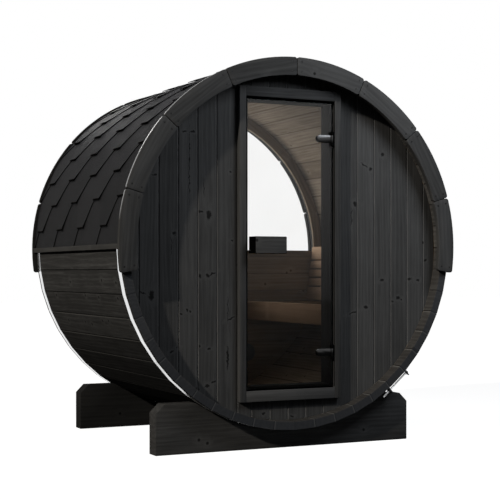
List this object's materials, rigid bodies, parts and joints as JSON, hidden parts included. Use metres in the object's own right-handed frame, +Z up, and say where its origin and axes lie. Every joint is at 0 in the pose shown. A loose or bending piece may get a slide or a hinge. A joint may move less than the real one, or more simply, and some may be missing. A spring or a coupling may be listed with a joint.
{
  "type": "barrel sauna",
  "caption": "Barrel-shaped outdoor sauna of stained staves on cradles, with a shingled roof, a hinged glass door and a half-moon rear window.",
  "frame": {"origin": "Bottom centre: on the floor under the barrel's axis, midway along its length.", "axes": "X across to the right seen from the door, Y along the barrel from the door to the rear window, Z up. The door faces -Y."},
  "size_m": [2.0498, 1.582, 2.1343],
  "materials": {
    "stained_wood": "black stain, matt",
    "stave_wood": "black stain outside, natural brown inside",
    "roof_shingle": "mineral-surfaced bitumen, matt",
    "hoop_steel": "bright stainless band",
    "hinge_chrome": "polished",
    "inner_wood": "natural brown, planed",
    "vent_metal": "satin grey",
    "door_glass": "dark bronze tint",
    "window_glass": "dark bronze tint"
  },
  "bodies": {
    "cabin": {"front_fascia": "stained_wood", "rear_fascia": "stained_wood", "eaves_batten_left": "stained_wood", "eaves_batten_right": "stained_wood", "front_wall_left": "stained_wood", "front_wall_right": "stained_wood", "front_wall_over_door": "stained_wood", "front_wall_under_door": "stained_wood", "door_jamb_left": "stained_wood", "door_jamb_right": "stained_wood", "door_head": "stained_wood", "door_sill": "stained_wood", "rear_wall_lower": "stained_wood", "rear_window_rail": "stained_wood", "rear_window_ring": "stained_wood", "front_cradle": "stained_wood", "rear_cradle": "stained_wood", "staves_right_upper": "stave_wood", "staves_crown_right": "stave_wood", "staves_crown_left": "stave_wood", "staves_left_upper": "stave_wood", "staves_left_lower": "stave_wood", "staves_floor_left": "stave_wood", "staves_floor_right": "stave_wood", "staves_right_lower": "stave_wood", "roof_shingles_right": "roof_shingle", "roof_shingles_left": "roof_shingle", "roof_ridge": "roof_shingle", "front_hoop": "hoop_steel", "rear_hoop": "hoop_steel", "front_tensioner": "hoop_steel", "rear_tensioner": "hoop_steel", "hinge_plates": "hinge_chrome", "bench_fascia": "inner_wood", "bench_seat": "inner_wood", "bench_bearers": "inner_wood", "backrest_slats": "inner_wood", "backrest_uprights": "inner_wood", "vent_inside": "vent_metal", "vent_outside": "vent_metal", "rear_window_glass": "window_glass"},
    "door": {"door_glass": "door_glass", "hinge_clamps": "hinge_chrome", "door_handle": "stained_wood", "handle_backplate": "inner_wood"}
  },
  "joints": [
    {"name": "door_hinge", "type": "hinge", "parent": "cabin", "child": "door", "pos_m": [0.259, -0.7155, 1.10945], "axis": [0, 0, 1], "range_deg": [0, 100]}
  ]
}
